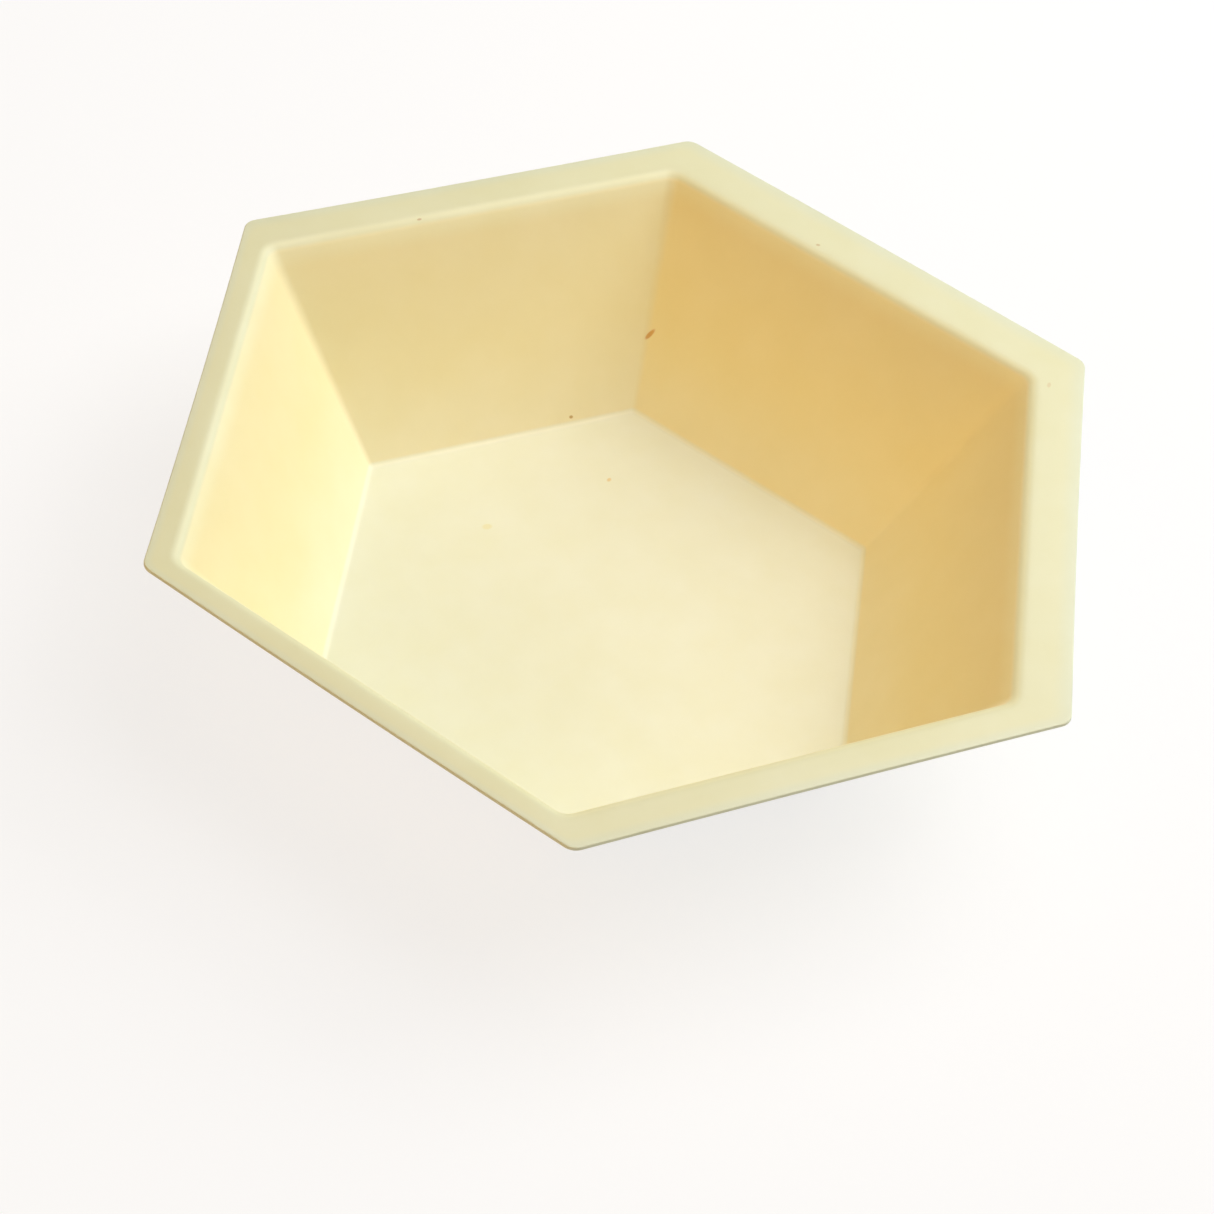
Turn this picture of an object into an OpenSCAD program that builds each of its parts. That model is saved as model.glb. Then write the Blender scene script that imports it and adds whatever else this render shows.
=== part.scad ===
// Hexagonal weighing boat: a shallow cup with sloping walls, a flat floor and a flat
// rim, drawn from one thin polystyrene sheet and punched out of it.
// Millimetres. +Z is up, z = 0 is the underside of the floor, and the origin is below
// the middle of the punched rim. Two flats of the rim face along X, two corners along Y.

/* [Rim] */
// Width of the punched rim across opposite flats
rim_across_flats = 77; // [74:0.5:90]
// Radius of the six punched corners
rim_corner_r = 1.4; // [0.5:0.1:6]
// Thickness of the sheet where it was clamped and stays flat
rim_gauge = 0.3; // [0.2:0.02:0.5]
// How far the punch rolls the rim's upper edge over
rim_roll_r = 0.12; // [0.04:0.02:0.16]
// How far the rim was punched off the cup's centre, towards +X
punched_right = 1.1; // [-1.5:0.1:1.5]
// How far the rim was punched off the cup's centre, towards +Y
punched_back = 0.9; // [-1.5:0.1:1.5]

/* [Cup] */
// Width of the mouth across flats, where the planes of wall and rim meet
mouth_across_flats = 69.6; // [60:0.2:70]
// Width of the floor across flats, where the planes of wall and floor meet
floor_across_flats = 46.2; // [30:0.2:56]
// Depth inside the cup, from the top of the rim to the floor
cup_depth = 18.5; // [10:0.5:30]
// Thickness left in the floor and in the foot of the walls after drawing
floor_gauge = 0.24; // [0.16:0.02:0.4]

/* [Bends and corners] */
// Inside radius of the bend from rim to wall
rim_bend_r = 1.1; // [0.2:0.1:1.5]
// Inside radius of the bend from wall to floor
floor_bend_r = 0.8; // [0.3:0.1:2]
// Radius between two walls, inside the cup at its mouth
mouth_corner_r = 1.5; // [0.6:0.1:6]
// Radius between two walls, inside the cup at its floor
floor_corner_r = 0.6; // [0.4:0.1:5]

/* [Hidden] */

wall_count = 6;
bend_steps = 8;                       // straight pieces round a bend of the section
corner_steps = 8;                     // straight pieces round a corner of the hexagon

half_corner = 180 / wall_count;       // from the middle of a wall to its corner
rim_top = floor_gauge + cup_depth;
rim_under = rim_top - rim_gauge;
rim_apothem = rim_across_flats / 2;
mouth_apothem = mouth_across_flats / 2;
floor_apothem = floor_across_flats / 2;
sheet_apothem = rim_apothem + mouth_apothem;                  // well outside the punch
sharpest_r = floor_gauge / 5;                                 // no sheet creases sharper
draft = atan((mouth_apothem - floor_apothem) / cup_depth);    // the wall's lean from upright
cup_centre = [-punched_right, -punched_back];

// ---- Sheet -------------------------------------------------------------------------
// A point of the section is [apothem, height]: how far a wall stands from the cup's
// axis, and how high. The section is that of the middle of any wall.

// Value at a height that runs evenly from one at the floor to one at the rim
function drawn(at_floor, at_rim, height) =
    at_floor + (at_rim - at_floor) * (height - floor_gauge) / cup_depth;

// Apothem of the wall's upper face at a height
function wall_inside(height) = drawn(floor_apothem, mouth_apothem, height);

// Apothem of the wall's under face, where the sheet thins evenly from rim to floor
function wall_outside(height) =
    wall_inside(height) + drawn(floor_gauge, rim_gauge, height) / cos(draft);

// Radius of the upright corner at a point of the section. The arc's centre stays where
// it is through the thickness of the sheet and round its bends.
function upright_corner(point) =
    max(sharpest_r, drawn(floor_corner_r, mouth_corner_r, point.y)
        + point.x - wall_inside(point.y));

function unit(v) = v / norm(v);

// Points of the arc of radius r that rounds corner b of the path a, b, c
function bend(a, b, c, r) =
    let (
        to_a = unit(a - b),
        to_c = unit(c - b),
        half = acos(to_a * to_c) / 2,
        centre = b + unit(to_a + to_c) * r / sin(half),
        start = b + to_a * r / tan(half) - centre,
        end = b + to_c * r / tan(half) - centre,
        turn = 180 - 2 * half
    )
    [for (i = [0 : bend_steps])
        let (t = i / bend_steps)
        centre + (sin(turn * (1 - t)) * start + sin(turn * t) * end) / sin(turn)];

// ---- Rings -------------------------------------------------------------------------
// Points round a hexagon with rounded corners, flats facing along X
function hexagon(apothem, corner_r, height, centre) =
    [for (k = [0 : wall_count - 1], s = [0 : corner_steps])
        let (
            corner = half_corner * (2 * k + 1),
            facing = corner + half_corner * (2 * s / corner_steps - 1),
            middle = centre + (apothem - corner_r) / cos(half_corner) * [cos(corner), sin(corner)],
            edge = middle + corner_r * [cos(facing), sin(facing)]
        )
        [edge.x, edge.y, height]];

// Ring of the cup at a point of the section
function cup_ring(point) = hexagon(point.x, upright_corner(point), point.y, cup_centre);

// Ring of the punched outline, drawn in by an amount
function outline_ring(inset, height) =
    hexagon(rim_apothem - inset, rim_corner_r - inset, height, [0, 0]);

// Closed solid through a list of rings, from the lowest to the highest
module loft(rings) {
    count = len(rings[0]);
    last = len(rings) - 1;
    sides = [for (i = [0 : last - 1], j = [0 : count - 1])
        let (next = (j + 1) % count)
        [i * count + j, (i + 1) * count + j, (i + 1) * count + next, i * count + next]];
    lowest = [for (j = [0 : count - 1]) j];
    highest = [for (j = [count - 1 : -1 : 0]) last * count + j];
    polyhedron(points = [for (ring = rings) each ring], faces = concat([lowest, highest], sides));
}

// ---- Boat --------------------------------------------------------------------------
// Under side of the drawn sheet before it is punched, filled up to the top of the rim
module under_side() {
    axis = [0, 0];
    foot = [wall_outside(0), 0];
    neck = [wall_outside(rim_under), rim_under];
    edge = [sheet_apothem, rim_under];
    floor_bend = bend(axis, foot, neck, floor_bend_r + floor_gauge);
    rim_bend = bend(foot, neck, edge, rim_bend_r);
    loft(concat(
        [for (point = concat(floor_bend, rim_bend)) cup_ring(point)],
        [for (height = [rim_under, rim_top]) hexagon(sheet_apothem, rim_corner_r, height, cup_centre)]
    ));
}

// Space that the cup holds, up through its mouth and as far again above it
module hollow() {
    axis = [0, floor_gauge];
    foot = [floor_apothem, floor_gauge];
    lip = [mouth_apothem, rim_top];
    edge = [sheet_apothem, rim_top];
    floor_bend = bend(axis, foot, lip, floor_bend_r);
    rim_bend = bend(foot, lip, edge, rim_bend_r + rim_gauge);
    mouth = rim_bend[bend_steps];
    loft(concat(
        [for (point = concat(floor_bend, rim_bend)) cup_ring(point)],
        [hexagon(mouth.x, upright_corner(mouth), rim_top + cup_depth, cup_centre)]
    ));
}

// All that lies within the punched outline, whose upper edge is rolled over. It starts as
// far below the floor as the cup is deep.
module punch() {
    roll = [for (i = [0 : corner_steps])
        let (turned = 90 * i / corner_steps)
        outline_ring(rim_roll_r * (1 - cos(turned)), rim_top - rim_roll_r * (1 - sin(turned)))];
    loft(concat([outline_ring(0, -cup_depth)], roll));
}

module weighing_boat() {
    color("#f1e6b4")
    intersection() {
        difference() {
            under_side();
            hollow();
        }
        punch();
    }
}

weighing_boat();
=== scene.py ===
# %% [markdown]
# # A hexagonal weighing boat
# A weighing boat is a throwaway dish for a laboratory balance. It starts as a flat sheet of
# cream polystyrene, 0.3 mm thick. The sheet is heated, drawn down into a cup by vacuum and
# punched out, so the whole boat is one skin: a flat rim, six sloping walls, a flat floor, and
# a soft bend wherever two of them meet. This lesson builds that skin with numpy, finishes it
# as satin cream plastic, and sets it on a white table in soft light.

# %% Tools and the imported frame
import math

import bpy
import numpy as np
from mathutils import Euler, Matrix, Vector


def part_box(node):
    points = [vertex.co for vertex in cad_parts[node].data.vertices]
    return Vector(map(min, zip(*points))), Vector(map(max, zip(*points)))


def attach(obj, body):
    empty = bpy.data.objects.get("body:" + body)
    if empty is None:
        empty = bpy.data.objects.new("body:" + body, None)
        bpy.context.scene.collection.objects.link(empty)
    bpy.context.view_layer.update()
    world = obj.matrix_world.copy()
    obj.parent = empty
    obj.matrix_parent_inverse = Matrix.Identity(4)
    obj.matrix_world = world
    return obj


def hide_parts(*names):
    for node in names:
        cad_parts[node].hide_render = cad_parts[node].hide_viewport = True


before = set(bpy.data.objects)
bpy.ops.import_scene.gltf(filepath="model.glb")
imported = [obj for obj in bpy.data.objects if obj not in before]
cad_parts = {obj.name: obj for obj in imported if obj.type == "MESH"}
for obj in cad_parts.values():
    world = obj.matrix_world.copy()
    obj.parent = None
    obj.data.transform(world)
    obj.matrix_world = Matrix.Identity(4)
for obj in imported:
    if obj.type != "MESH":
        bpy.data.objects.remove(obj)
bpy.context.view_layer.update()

METRES_PER_MM = 0.001

# %% [markdown]
# ## Sizes
# Everything is worked out in millimetres and turned to Blender's metres at the last step. The
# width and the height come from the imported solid, so the skin always fills its box. The other
# sizes are those that a maker of such boats would set: how wide the mouth and the floor are,
# how thick the sheet still is, and how sharply it bends.

# %% Driving sizes, mm
box_low, box_high = (np.array(corner) / METRES_PER_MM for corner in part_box("weighing_boat"))

rim_across_flats = box_high[0] - box_low[0]
rim_top = box_high[2]
rim_corner_r = 1.4          # radius of the six punched corners
rim_gauge = 0.30            # sheet left in the rim, where it was clamped
rim_roll_r = 0.12           # how far the punch rolls the upper edge over
floor_gauge = 0.24          # sheet left in the floor after drawing
mouth_across_flats = 69.6   # where the planes of wall and rim meet
floor_across_flats = 46.2   # where the planes of wall and floor meet
rim_bend_r = 1.1            # inside radius of the bend from rim to wall
floor_bend_r = 0.8          # inside radius of the bend from wall to floor
mouth_corner_r = 1.5        # radius between two walls at the mouth
floor_corner_r = 0.6        # radius between two walls at the floor
cup_centre = np.array([-1.1, -0.9])    # the rim was punched a little off the cup's centre

WALLS = 6
half_corner = math.pi / WALLS
rim_under = rim_top - rim_gauge
cup_depth = rim_top - floor_gauge
rim_apothem = rim_across_flats / 2
mouth_apothem = mouth_across_flats / 2
floor_apothem = floor_across_flats / 2
draft = math.atan((mouth_apothem - floor_apothem) / cup_depth)
print(f"cup {cup_depth:.2f} mm deep, walls {math.degrees(draft):.1f} degrees from upright")

# %% [markdown]
# ## The section
# Cut the boat through the middle of one wall, and the cut face is a thin bent ribbon. Its upper
# face and its under face are two paths of straight lines, rounded where they bend. A point of a
# path is `[apothem, height]`: how far it stands from the cup's axis, and how high. The wall
# thins evenly from the rim to the floor, because its lower part was stretched the most.

# %% Walls and bends of the section
BEND_STEPS = 10             # straight pieces round one bend


def drawn(at_floor, at_rim, height):
    """A value that runs evenly from one at the floor to one at the rim."""
    return at_floor + (at_rim - at_floor) * (height - floor_gauge) / cup_depth


def wall_inside(height):
    """Apothem of the wall's upper face: a straight line from floor to mouth."""
    return drawn(floor_apothem, mouth_apothem, height)


def wall_outside(height):
    """Apothem of the wall's under face: the upper face's, plus the sheet measured level."""
    return wall_inside(height) + drawn(floor_gauge, rim_gauge, height) / math.cos(draft)


def unit(v):
    """The vector over its own length."""
    return v / np.linalg.norm(v)


def bend(a, b, c, radius):
    """Points of the arc that rounds corner b of the path a, b, c.

    The arc's centre lies on the line that halves the corner, at radius over the sine of half
    the corner. The arc leaves the two straight lines at radius over the tangent of half the
    corner, and its spokes in between blend by the sines of the turn left and the turn done.
    """
    a, b, c = (np.asarray(p, float) for p in (a, b, c))
    to_a, to_c = unit(a - b), unit(c - b)
    half = math.acos(to_a @ to_c) / 2
    centre = b + unit(to_a + to_c) * radius / math.sin(half)
    start = b + to_a * radius / math.tan(half) - centre
    end = b + to_c * radius / math.tan(half) - centre
    turn = math.pi - 2 * half
    t = np.linspace(0, 1, BEND_STEPS + 1)[:, None]
    return centre + (np.sin(turn * (1 - t)) * start + np.sin(turn * t) * end) / math.sin(turn)


foot, lip = [floor_apothem, floor_gauge], [mouth_apothem, rim_top]
under_foot, under_neck = [wall_outside(0), 0], [wall_outside(rim_under), rim_under]
upper_floor_bend = bend([0, floor_gauge], foot, lip, floor_bend_r)
upper_rim_bend = bend(foot, lip, [rim_apothem, rim_top], rim_bend_r + rim_gauge)
under_rim_bend = bend([rim_apothem, rim_under], under_neck, under_foot, rim_bend_r)
under_floor_bend = bend(under_neck, under_foot, [0, 0], floor_bend_r + floor_gauge)
print("the rim's bend runs from apothem", upper_rim_bend[0, 0].round(2), "to",
      upper_rim_bend[-1, 0].round(2))

# %% [markdown]
# ## Rings
# Each point of the section is carried round the boat as a ring, which is a hexagon with rounded
# corners. A ring is a row of six numbers: apothem, corner radius, height, the centre's x and y,
# and how free the sheet is there, from 0 in the cup to 1 at the punched edge. A straight
# stretch of the section is then simply a blend between two rows. The upright corners open out
# from floor to mouth, and the centre of a corner's arc stays put through the thickness of the
# sheet, which keeps the skin evenly thick round the corners too.

# %% Rings of the cup and of the punched outline
FLOOR_RINGS = 14            # across the flat of the floor
WALL_RINGS = 26             # up a wall
RIM_RINGS = 8               # across the rim
ROLL_RINGS = 6              # round the punched edge
MIDDLE_R = 0.02             # mm, the ring in the middle of the floor


def cup_rings(points):
    """Rings at points of the section. Corner radius: the wall's own at that height, plus how
    far the point stands outside the wall's upper face."""
    apothem, height = np.asarray(points, float).T
    corner_r = drawn(floor_corner_r, mouth_corner_r, height) + apothem - wall_inside(height)
    centre = np.tile(cup_centre, (len(apothem), 1))
    return np.column_stack([apothem, corner_r, height, centre, np.zeros(len(apothem))])


def outline_rings(insets, heights):
    """Rings of the punched outline, each drawn in by an amount."""
    insets, heights = np.asarray(insets, float), np.asarray(heights, float)
    centre = np.zeros((len(insets), 2))
    free = np.ones(len(insets))
    return np.column_stack([rim_apothem - insets, rim_corner_r - insets, heights, centre, free])


def middle_ring(height):
    """A ring almost shrunk to the cup's axis, which a fan of triangles closes."""
    return np.array([[MIDDLE_R, 0.0, height, *cup_centre, 0.0]])


def joined(groups, counts):
    """Groups of rings in order, with evenly blended rings on the straight stretches between."""
    rows = [groups[0]]
    for before, after, count in zip(groups, groups[1:], counts):
        t = np.linspace(0, 1, count + 2)[1:-1, None]
        rows += [before[-1] * (1 - t) + after[0] * t, after]
    return np.vstack(rows)


rolled = np.linspace(math.pi / 2, 0, ROLL_RINGS)
roll = outline_rings(rim_roll_r * (1 - np.cos(rolled)),
                     rim_top - rim_roll_r * (1 - np.sin(rolled)))
rings = joined(
    [middle_ring(floor_gauge), cup_rings(upper_floor_bend), cup_rings(upper_rim_bend), roll,
     outline_rings([0], [rim_under]), cup_rings(under_rim_bend), cup_rings(under_floor_bend),
     middle_ring(0.0)],
    [FLOOR_RINGS, WALL_RINGS, RIM_RINGS, 1, RIM_RINGS, WALL_RINGS, FLOOR_RINGS],
)
print(len(rings), "rings from the middle of the floor, over the rim and back underneath")

# %% [markdown]
# ## Round the hexagon
# Every ring is walked in the same columns. A column is two directions. Its spine leads from the
# ring's centre to the centre of a corner's arc, or to the matching place along a flat, and its
# facing is the way the skin faces there. A point of a ring is the ring's centre, plus the spine
# times what the apothem has over the corner's radius, plus the facing times that radius.

# %% Columns round the hexagon
FLAT_COLUMNS = 22           # steps along one flat
CORNER_COLUMNS = 10         # steps round one corner


def columns_round():
    """Spine, facing, side and place along it for every column: a flat, then a corner, six times.

    Along a flat the spine is the flat's normal plus the tangent of half a corner times the
    place along it, from -1 to 1. Round a corner it stays at the corner, and only the facing
    turns.
    """
    along = np.linspace(-1, 1, FLAT_COLUMNS + 1)
    bent = np.linspace(0, 2 * half_corner, CORNER_COLUMNS + 1)[1:-1]
    place = np.concatenate([along, np.ones(len(bent))])
    turn = np.concatenate([np.zeros(len(along)), bent])
    side = np.repeat(np.arange(WALLS), len(place))
    place, turn = np.tile(place, WALLS), np.tile(turn, WALLS)
    normal = 2 * half_corner * side
    flat_out = np.column_stack([np.cos(normal), np.sin(normal)])
    flat_on = np.column_stack([-np.sin(normal), np.cos(normal)])
    spine = flat_out + math.tan(half_corner) * place[:, None] * flat_on
    facing = np.column_stack([np.cos(normal + turn), np.sin(normal + turn)])
    return spine, facing, side, place


def skin(rows, spine, facing):
    """Grid of points, ring by column."""
    apothem, corner_r, height = (rows[:, i, None, None] for i in range(3))
    level = rows[:, None, 3:5] + (apothem - corner_r) * spine + corner_r * facing
    return np.concatenate([level, np.broadcast_to(height, level.shape[:2] + (1,))], axis=2)


spine, facing, side, place = columns_round()
points = skin(rings, spine, facing)
print("grid of", points.shape[0], "rings by", points.shape[1], "columns")

# %% [markdown]
# ## How a thin sheet settles
# A sheet this thin is never quite true. When it leaves the mould it shrinks and springs: each
# side of the rim ends up a hair bowed in or out and droops a little at its free edge, the
# walls pull inwards between their corners, and the floor domes up. None of this is more than
# 0.2 mm, but it is what keeps the light on a real boat from lying dead flat. Both faces move
# by the same amount, so the sheet keeps its thickness.

# %% Bows, droops and the floor's dome, mm
side_bows = np.array([-0.10, 0.14, 0.03, -0.12, 0.05, -0.12])     # outwards, from the side at +X
side_droops = np.array([0.10, 0.04, 0.12, 0.06, 0.10, 0.05])      # down at the free edge
wall_pulls = np.array([0.10, 0.16, 0.08, 0.12, 0.14, 0.10])       # inwards at half height
floor_dome = 0.10


def settled(points, rows, facing, side, place):
    """The grid after it has settled.

    Every side moves most at its middle, by one less the square of the place along it. The rim's
    share grows with how free the sheet is, the wall's is four times the part of its height done
    times the part left, and the dome is one less the square of the apothem over the floor's,
    squared.
    """
    apothem, height, free = rows[:, 0, None], rows[:, 2, None], rows[:, 5, None]
    middle = 1 - place ** 2
    done = np.clip((height - floor_gauge) / cup_depth, 0, 1)
    on_wall = 4 * done * (1 - done) * (1 - free)
    outwards = middle * (side_bows[side] * free - wall_pulls[side] * on_wall)
    dome = floor_dome * np.clip(1 - (apothem / floor_apothem) ** 2, 0, 1) ** 2
    up = dome - middle * side_droops[side] * free ** 2
    return points + np.dstack([outwards[:, :, None] * facing, up])


points = settled(points, rings, facing, side, place)
print("the settled skin spans, mm:", points.min(axis=(0, 1)).round(2), points.max(axis=(0, 1)).round(2))

# %% [markdown]
# ## The mesh
# The grid closes on itself round the hexagon, and a fan of triangles closes it in the middle of
# the floor, above and below. The result is one closed skin with its faces outwards, as solid
# as the real sheet. It is shaded smooth, and only the punch's square lower edge stays sharp.
#
# Two facts go with every point as attributes, because the finish needs them later: how free of
# the mould the sheet was there, and how high the point was drawn, before it settled.

# %% One closed skin
SHARP_FROM = math.radians(50)
FREE = "free_of_the_mould"
DRAWN_HEIGHT = "height_as_drawn"       # mm


def closed_skin(name, grid, marks):
    """Mesh of a grid whose columns close on themselves, with a fan in each end ring.

    Its points carry an attribute for each mark, which has one value a ring.
    """
    rows, columns = grid.shape[:2]
    here = np.arange(rows * columns).reshape(rows, columns)
    there = np.roll(here, -1, axis=1)
    quads = np.stack([here[:-1], here[1:], there[1:], there[:-1]], axis=-1).reshape(-1, 4)
    first, last = np.full(columns, rows * columns), np.full(columns, rows * columns + 1)
    fans = np.vstack([np.column_stack([first, here[0], there[0]]),
                      np.column_stack([last, there[-1], here[-1]])])
    spots = np.vstack([grid.reshape(-1, 3), grid[0].mean(axis=0), grid[-1].mean(axis=0)])
    mesh = bpy.data.meshes.new(name)
    mesh.from_pydata((spots * METRES_PER_MM).tolist(), [], quads.tolist() + fans.tolist())
    mesh.shade_smooth()
    mesh.set_sharp_from_angle(angle=SHARP_FROM)
    for mark, values in marks.items():
        per_point = np.concatenate([np.repeat(values, columns), values[[0, -1]]])
        mesh.attributes.new(mark, "FLOAT", "POINT").data.foreach_set("value", per_point)
    piece = bpy.data.objects.new(name, mesh)
    bpy.context.scene.collection.objects.link(piece)
    return piece


boat = closed_skin("boat_skin", points, {FREE: rings[:, 5], DRAWN_HEIGHT: rings[:, 2]})
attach(boat, "root")
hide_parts("weighing_boat")
print("skin of", len(boat.data.polygons), "faces")

# %% [markdown]
# ## Colours and nodes
# Colours are written as the hex values that a paint program shows, and one function turns them
# into the linear light that Blender reckons with. A second small function adds a node to a
# material together with its settings and links.

# %% Two helpers for materials
def linear(hex_colour):
    """An sRGB hex colour as linear red, green, blue and 1.

    Dark values are divided by 12.92. The others have 0.055 added, are divided by 1.055 and
    raised to the power 2.4.
    """
    channels = np.array([int(hex_colour[i:i + 2], 16) for i in (1, 3, 5)]) / 255
    bright = ((channels + 0.055) / 1.055) ** 2.4
    return (*np.where(channels <= 0.04045, channels / 12.92, bright).tolist(), 1.0)


def add(tree, kind, settings=None, **inputs):
    """Adds a node. Settings are its own properties. An input named in words is found by its
    name, and one named i0, i1 and so on by its number; a socket is linked, a value is set."""
    node = tree.nodes.new(kind)
    for key, value in (settings or {}).items():
        setattr(node, key, value)
    for key, value in inputs.items():
        number = key[1:]
        socket = node.inputs[int(number) if number.isdigit() else key.replace("_", " ")]
        if isinstance(value, bpy.types.NodeSocket):
            tree.links.new(value, socket)
        else:
            socket.default_value = value
    return node


def empty_material(name):
    """A material with nodes, and none in it yet."""
    material = bpy.data.materials.new(name)
    material.use_nodes = True
    material.node_tree.nodes.clear()
    return material, material.node_tree


print("cream in linear light:", [round(c, 3) for c in linear("#f7ecb9")[:3]])

# %% [markdown]
# ## Thermoformed polystyrene
# The sheet is high-impact polystyrene with a cream pigment. A little light gets through so thin
# a sheet, and subsurface scattering could follow it, but it is slow and few programs that read
# an exported model know it. So the plastic is opaque here, and light and shade are painted into
# its cream from place to place instead. The floor is painted less yellow and greener, as painted
# light for the strong light on it, and to take back the amber card's light. The crease round it
# and the neck below the rim are painted whiter, as painted highlights. The foot of a wall is
# painted a lighter cream than its middle, for the light it gets from the bright floor. The rim is
# painted darker and greener, as painted shade, which also takes back the amber card's light, and
# towards its punched edge it is painted bluer, for light that comes in through the cut. Up close
# there is a faint mottle from the pigment, a fine satin grain from the mould, and a few specks of
# scorched plastic and dust that every batch has.

# %% Colour: the creams from floor to edge, with painted light and shade, and the mottle
# painted light: the floor is less yellow and greener, for the strong light on it and against the amber
# card's light
FLOOR_PAINTED_LIGHT_CREAM = "#e6e7cb"
CREASE_PAINTED_HIGHLIGHT = "#eeedcf"    # a little whiter along the crease where the wall was bent up from the floor: a painted highlight
FOOT_PAINTED_LIGHT = "#f7efc6"      # the lowest part of a wall, lighter: painted light from the bright floor
CUP_CREAM = "#f7ecb9"       # the rest of it
NECK_PAINTED_HIGHLIGHT = "#faf4c8"      # whiter in the last millimetres below the rim's bend: a painted highlight
BEND_HIGHLIGHT_TO_SHADE = "#e7e8c0"      # round the bend, between the neck's painted highlight and the rim's painted shade
# painted shade: the rim is darker and greener than the cup, which also takes back the amber card's
# light
RIM_PAINTED_SHADE = "#e0e2bc"
EDGE_PAINTED_LIGHT = "#dbe1c4"      # bluer and greyer towards the punched edge: painted light that comes in through the cut edge
PAINTED_LIGHT_UP_TO_MM = 9.0         # the painted light on a wall's foot fades out this far up
EDGE_LIGHT_FROM = 0.55            # the painted light at the edge starts this far across the rim, as a share
MOTTLE_MM = 5.0             # the pigment's clouds are about this wide
MOTTLE_DEPTH = (0.010, 0.014, 0.040)    # and this much lighter or darker: most in the blue
NOISE_SPAN = (0.3, 0.7)     # nearly all of a noise's values lie between these


def per_metre(size_mm):
    """Noise scale for a real size: how many of its waves fit in a metre."""
    return 1 / (size_mm * METRES_PER_MM)


def rise(tree, mark, low, high):
    """A smooth step from 0 to 1 as the attribute goes from low to high."""
    value = add(tree, "ShaderNodeAttribute", {"attribute_name": mark}).outputs["Fac"]
    return add(tree, "ShaderNodeMapRange", {"interpolation_type": "SMOOTHSTEP"}, Value=value,
               From_Min=low, From_Max=high).outputs[0]


def laid_over(tree, share, one, other):
    """One colour, with a share of another laid over it."""
    return add(tree, "ShaderNodeMix", {"data_type": "RGBA"}, Factor=share,
               i6=one, i7=other).outputs[2]


def sheet_colour_and_painted_light(tree, where):
    """The floor's cream, the walls' from foot to top, the rim's, and the edge's, one laid over
    the other and all clouded by the mottle. The crease and the neck carry painted highlights, the
    floor, the walls' feet and the edge painted light, and the rim painted shade; only the walls'
    middle cream is the sheet's own.

    Each step has the attribute it reads, where it starts and ends there, and its cream. Inside a
    bend, a step's ends are shares of the bend's radius.
    """
    steps = [
        (DRAWN_HEIGHT, floor_gauge, floor_gauge + 0.1 * floor_bend_r, CREASE_PAINTED_HIGHLIGHT),
        (DRAWN_HEIGHT, floor_gauge + 0.2 * floor_bend_r, floor_gauge + 0.5 * floor_bend_r,
         FOOT_PAINTED_LIGHT),
        (DRAWN_HEIGHT, floor_bend_r, PAINTED_LIGHT_UP_TO_MM, CUP_CREAM),
        (DRAWN_HEIGHT, rim_top - 2.0 * rim_bend_r, rim_top - 0.5 * rim_bend_r, NECK_PAINTED_HIGHLIGHT),
        (DRAWN_HEIGHT, rim_top - 0.5 * rim_bend_r, rim_top - 0.2 * rim_bend_r, BEND_HIGHLIGHT_TO_SHADE),
        (DRAWN_HEIGHT, rim_top - 0.1 * rim_bend_r, rim_top, RIM_PAINTED_SHADE),
        (FREE, EDGE_LIGHT_FROM, 1.0, EDGE_PAINTED_LIGHT),
    ]
    cream = linear(FLOOR_PAINTED_LIGHT_CREAM)
    for mark, low, high, hex_colour in steps:
        cream = laid_over(tree, rise(tree, mark, low, high), cream, linear(hex_colour))
    clouds = add(tree, "ShaderNodeTexNoise", Vector=where, Scale=per_metre(MOTTLE_MM), Detail=3.0)
    thin = add(tree, "ShaderNodeMapRange", Value=clouds.outputs[0], From_Min=NOISE_SPAN[0],
               From_Max=NOISE_SPAN[1], To_Min=-1.0, To_Max=1.0)
    tint = add(tree, "ShaderNodeVectorMath", {"operation": "MULTIPLY_ADD"}, i0=thin.outputs[0],
               i1=MOTTLE_DEPTH, i2=(1.0, 1.0, 1.0))
    return add(tree, "ShaderNodeVectorMath", {"operation": "MULTIPLY"}, i0=cream,
               i1=tint.outputs[0]).outputs[0]


# %% Specks: middle in mm, half their length and width in mm, turn in degrees, and colour
SPECK_CORE = 0.5            # the share of a speck inside which it has its full colour
SPECKS = [
    ((-0.81, 30.07, 6.35), (0.90, 0.27), (0, -52, 26), "#d9ac68"),     # a scorched splinter
    ((-6.84, 22.91, 0.85), (0.25, 0.20), (0, 0, 20), "#cdae6b"),
    ((-2.29, 15.96, 0.24), (0.36, 0.24), (0, 0, 70), "#dfcc94"),
    ((-12.52, 7.21, 0.24), (0.60, 0.45), (0, 0, 30), "#e3dfb2"),
    ((13.17, 32.24, 18.74), (0.26, 0.20), (0, 0, 0), "#cdc092"),
    ((35.28, 18.30, 18.74), (0.45, 0.22), (0, 0, 80), "#d9d2a8"),
    ((-23.30, 26.60, 18.60), (0.30, 0.14), (0, 0, 30), "#cbb888"),     # a nick in the rim's bend
]


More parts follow.
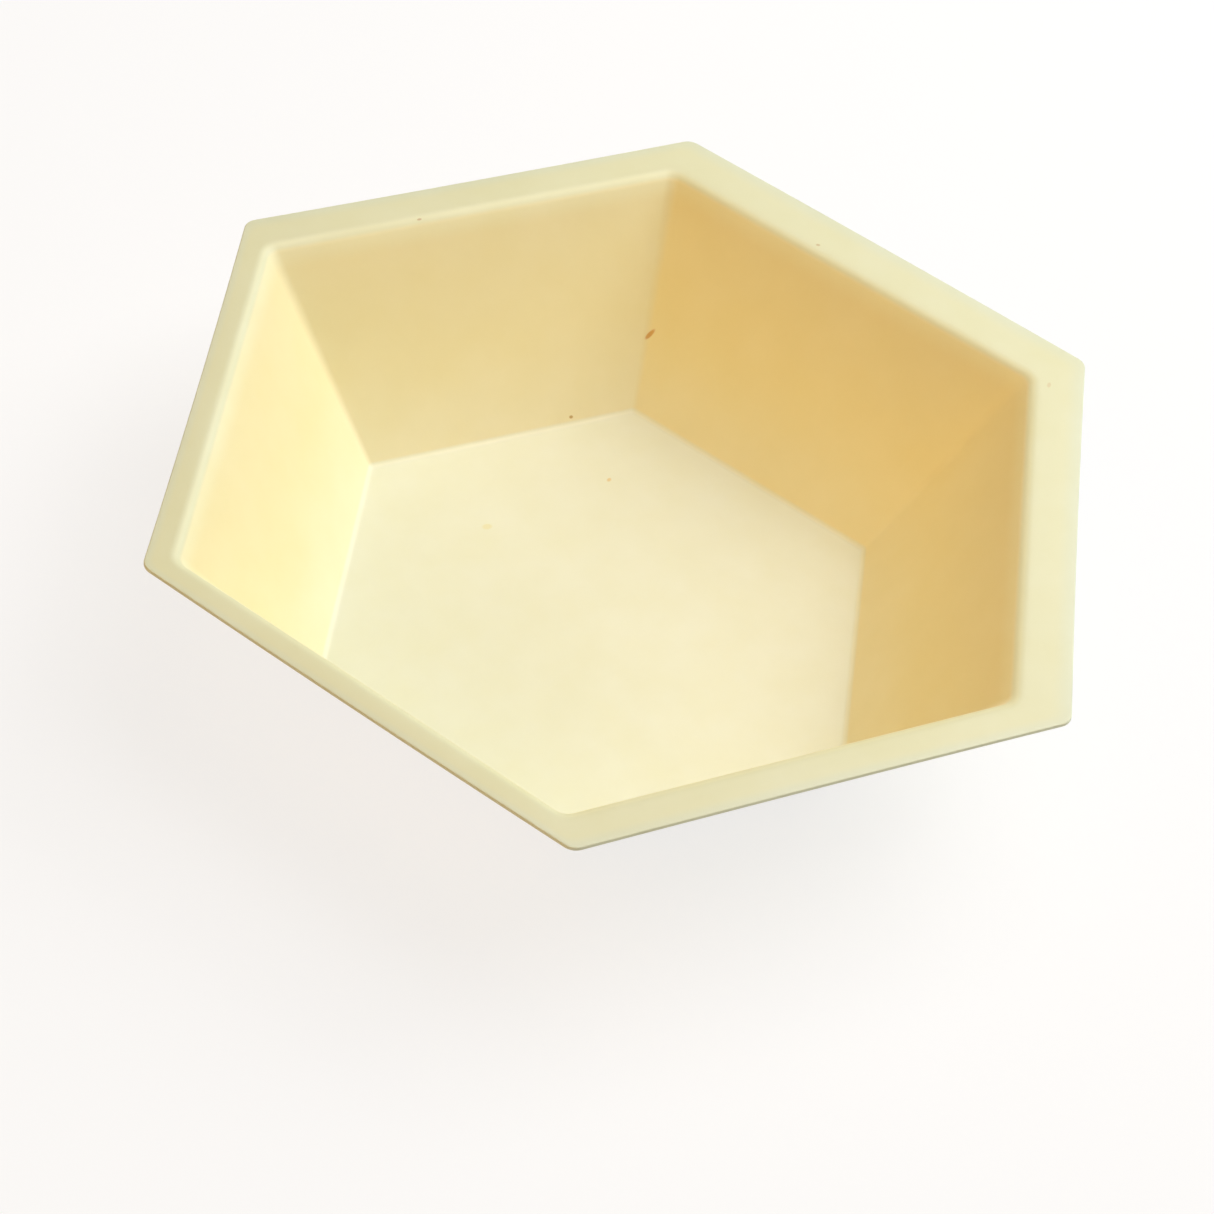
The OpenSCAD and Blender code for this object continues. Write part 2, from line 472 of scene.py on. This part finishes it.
def speckled(tree, where, colour):
    """The colour with the specks laid over it. Each is an ellipsoid on the surface: the point
    is moved, turned and scaled so that the speck is the unit ball, whose edge is softened."""
    for place_mm, (long, wide), turn, hex_colour in SPECKS:
        local = add(tree, "ShaderNodeMapping", {"vector_type": "TEXTURE"}, Vector=where,
                    Location=Vector(place_mm) * METRES_PER_MM,
                    Rotation=Euler([math.radians(a) for a in turn]),
                    Scale=Vector((long, wide, wide)) * METRES_PER_MM)
        radius = add(tree, "ShaderNodeVectorMath", {"operation": "LENGTH"}, i0=local.outputs[0])
        inside = add(tree, "ShaderNodeMapRange", {"interpolation_type": "SMOOTHSTEP"},
                     Value=radius.outputs["Value"], From_Min=1.0, From_Max=SPECK_CORE)
        colour = laid_over(tree, inside.outputs[0], colour, linear(hex_colour))
    return colour


print(len(SPECKS), "specks")

# %% [markdown]
# Two noises shape the surface itself. The satin grain is as fine as the mould's blasted face, a
# quarter of a millimetre and a few thousandths deep. The second is the slow ripple of a sheet
# that cooled unevenly, some millimetres wide. Each is a real height in metres, so the bump
# needs no guessed strength.

# %% Surface: satin grain and slow ripple
GRAIN_MM = 0.25             # as wide as the blasted pits of the mould
GRAIN_DEEP_MM = 0.004
RIPPLE_MM = 7.0
RIPPLE_DEEP_MM = 0.01
SATIN_ROUGHNESS = 0.5       # satin: no mirror image, only a soft broad sheen
ROUGHNESS_SPREAD = 0.05
POLYSTYRENE_IOR = 1.59


def sheet_surface(tree, where):
    """The normal bent by ripple and grain, and a roughness that drifts with the ripple."""
    ripple = add(tree, "ShaderNodeTexNoise", Vector=where, Scale=per_metre(RIPPLE_MM), Detail=1.0)
    grain = add(tree, "ShaderNodeTexNoise", Vector=where, Scale=per_metre(GRAIN_MM), Detail=2.0)
    slow = add(tree, "ShaderNodeBump", Height=ripple.outputs[0],
               Distance=RIPPLE_DEEP_MM * METRES_PER_MM)
    fine = add(tree, "ShaderNodeBump", Height=grain.outputs[0],
               Distance=GRAIN_DEEP_MM * METRES_PER_MM, Normal=slow.outputs[0])
    rough = add(tree, "ShaderNodeMapRange", Value=ripple.outputs[0], From_Min=NOISE_SPAN[0],
                From_Max=NOISE_SPAN[1], To_Min=SATIN_ROUGHNESS - ROUGHNESS_SPREAD,
                To_Max=SATIN_ROUGHNESS + ROUGHNESS_SPREAD)
    return fine.outputs[0], rough.outputs[0]


# %% The whole finish
def thermoformed_polystyrene():
    """Colour with painted light and shade, specks and surface on one opaque satin plastic.

    High-impact polystyrene, vacuum formed over a blasted mould. It gives the eye a warm, nearly
    even cream with a broad sheen and no sharp highlight.
    """
    material, tree = empty_material("thermoformed_polystyrene")
    where = add(tree, "ShaderNodeTexCoord").outputs["Object"]
    normal, roughness = sheet_surface(tree, where)
    plastic = add(
        tree, "ShaderNodeBsdfPrincipled",
        Base_Color=speckled(tree, where, sheet_colour_and_painted_light(tree, where)),
        Roughness=roughness, Normal=normal, IOR=POLYSTYRENE_IOR,
    )
    add(tree, "ShaderNodeOutputMaterial", Surface=plastic.outputs[0])
    return material


boat.data.materials.append(thermoformed_polystyrene())
print("polystyrene of", len(boat.data.materials[0].node_tree.nodes), "nodes")

# %% [markdown]
# ## The table
# A matt white table top, wide enough to fill the view. It lies a twentieth of a millimetre
# below the boat, as a real foot touches a table only at its high spots. For what looks straight
# at it, most of its white is its own and the rest is the light it gets, so it reads as white
# paper and still carries the boat's soft shadow.

# %% White table
TABLE_HALF_WIDTH = 1.5      # m
TABLE_GAP = 0.00005         # m
TABLE_WHITE = 0.9
TABLE_OWN_WHITE = 0.78      # the share of its white that no shadow dims


def white_table():
    """A plain matt white laminate, which gives the eye an even white without a highlight.

    For rays from the eye, a mirror or glass, a share of it is a constant white of strength 1.
    """
    material, tree = empty_material("matt_white_laminate")
    matt = add(tree, "ShaderNodeBsdfDiffuse", Color=(TABLE_WHITE, TABLE_WHITE, TABLE_WHITE, 1))
    paper = add(tree, "ShaderNodeEmission", Color=(1, 1, 1, 1), Strength=1.0)
    path = add(tree, "ShaderNodeLightPath").outputs
    seen = add(tree, "ShaderNodeMath", {"operation": "ADD"}, i0=path["Is Camera Ray"],
               i1=path["Is Glossy Ray"])
    seen = add(tree, "ShaderNodeMath", {"operation": "ADD"}, i0=seen.outputs[0],
               i1=path["Is Transmission Ray"])
    share = add(tree, "ShaderNodeMath", {"operation": "MULTIPLY"}, i0=seen.outputs[0],
                i1=TABLE_OWN_WHITE)
    mixed = add(tree, "ShaderNodeMixShader", i0=share.outputs[0], i1=matt.outputs[0],
                i2=paper.outputs[0])
    add(tree, "ShaderNodeOutputMaterial", Surface=mixed.outputs[0])
    return material


def table_top():
    """One square, level with the boat's foot less the gap."""
    half = TABLE_HALF_WIDTH
    mesh = bpy.data.meshes.new("table_top")
    corners = [(-half, -half), (half, -half), (half, half), (-half, half)]
    mesh.from_pydata([(x, y, -TABLE_GAP) for x, y in corners], [], [(0, 1, 2, 3)])
    mesh.materials.append(white_table())
    table = bpy.data.objects.new("table_top", mesh)
    bpy.context.scene.collection.objects.link(table)
    return table


table = table_top()
print("table", 2 * TABLE_HALF_WIDTH, "m wide")

# %% [markdown]
# ## Light
# The light is that of a small white studio. The key softbox stands to the right and behind, low
# enough that the right-hand walls fall in their own shade. A wide one overhead and a small one
# at the right soften it, and the white room fills the rest. In a real stack, amber light comes
# up through the sheets into the shaded walls. A large amber card at the left front stands for
# it: it is weak, so the pale sides hardly show it, and the shaded walls turn tan.

# %% Softboxes and the white room
ROOM_STRENGTH = 0.10

world = bpy.data.worlds.new("white_room")
bpy.context.scene.world = world
world.use_nodes = True
room = world.node_tree.nodes["Background"].inputs
room["Color"].default_value = (1, 1, 1, 1)
room["Strength"].default_value = ROOM_STRENGTH


def softbox(name, azimuth, elevation, distance, size, watts, colour):
    """A rectangular lamp that faces the boat. Azimuth is counter-clockwise from +X in degrees,
    the distance and its width and height are in metres."""
    a, e = math.radians(azimuth), math.radians(elevation)
    outwards = Vector((math.cos(a) * math.cos(e), math.sin(a) * math.cos(e), math.sin(e)))
    data = bpy.data.lights.new(name, "AREA")
    data.shape = "RECTANGLE"
    data.size, data.size_y = size
    data.energy = watts
    data.color = linear(colour)[:3]
    lamp = bpy.data.objects.new(name, data)
    lamp.location = outwards * distance
    lamp.rotation_euler = outwards.to_track_quat("Z", "Y").to_euler()
    bpy.context.scene.collection.objects.link(lamp)
    return lamp


LAMPS = [
    # name, azimuth, elevation, distance, width and height, watts, colour
    ("key_softbox", 40, 42, 0.4, (0.25, 0.20), 0.905, "#ffffff"),
    ("overhead_softbox", 35, 70, 0.6, (0.60, 0.40), 1.620, "#ffffff"),
    ("small_softbox", -10, 60, 0.55, (0.20, 0.15), 0.240, "#ffffff"),
    ("warm_card", 214, 35, 0.83, (1.20, 0.80), 3.340, "#ffba00"),
]
for lamp in LAMPS:
    softbox(*lamp)

# %% [markdown]
# ## Camera
# The camera stands in front and looks down at 46 degrees through a moderate telephoto, rolled
# by nine and a half degrees. It is placed from the point that it aims at, so its height and
# distance can be read straight from the numbers.

# %% Camera
AIM = np.array([-0.49, -18.12, rim_top])     # mm
DISTANCE = 288.6                             # mm
AZIMUTH, ELEVATION, ROLL = 0.06, 46.03, 9.51     # degrees
LENS, SENSOR = 103.78, 36.0                  # mm
NEAREST, FARTHEST = 0.01, 10.0               # m, what the camera sees between


def look(aim, azimuth, elevation, roll, distance):
    """A camera whose back axis points from the aim to it, turned about that axis by the roll.

    The back axis is the azimuth's direction times the cosine of the elevation, and up by its
    sine. Right lies level, and up is back times right.
    """
    a, e, r = (math.radians(angle) for angle in (azimuth, elevation, roll))
    back = np.array([math.sin(a) * math.cos(e), -math.cos(a) * math.cos(e), math.sin(e)])
    level = np.array([math.cos(a), math.sin(a), 0.0])
    upright = np.cross(back, level)
    turn = np.eye(4)
    turn[:3, 0] = math.cos(r) * level + math.sin(r) * upright
    turn[:3, 1] = math.cos(r) * upright - math.sin(r) * level
    turn[:3, 2] = back
    turn[:3, 3] = (aim + back * distance) * METRES_PER_MM
    data = bpy.data.cameras.new("camera")
    data.lens, data.sensor_width = LENS, SENSOR
    data.clip_start, data.clip_end = NEAREST, FARTHEST
    camera = bpy.data.objects.new("camera", data)
    camera.matrix_world = Matrix(turn.tolist())
    bpy.context.scene.collection.objects.link(camera)
    return camera


scene = bpy.context.scene
scene.camera = look(AIM, AZIMUTH, ELEVATION, ROLL, DISTANCE)
scene.view_settings.view_transform = "Standard"
print("camera at, mm:", (np.array(scene.camera.location) / METRES_PER_MM).round(1).tolist())
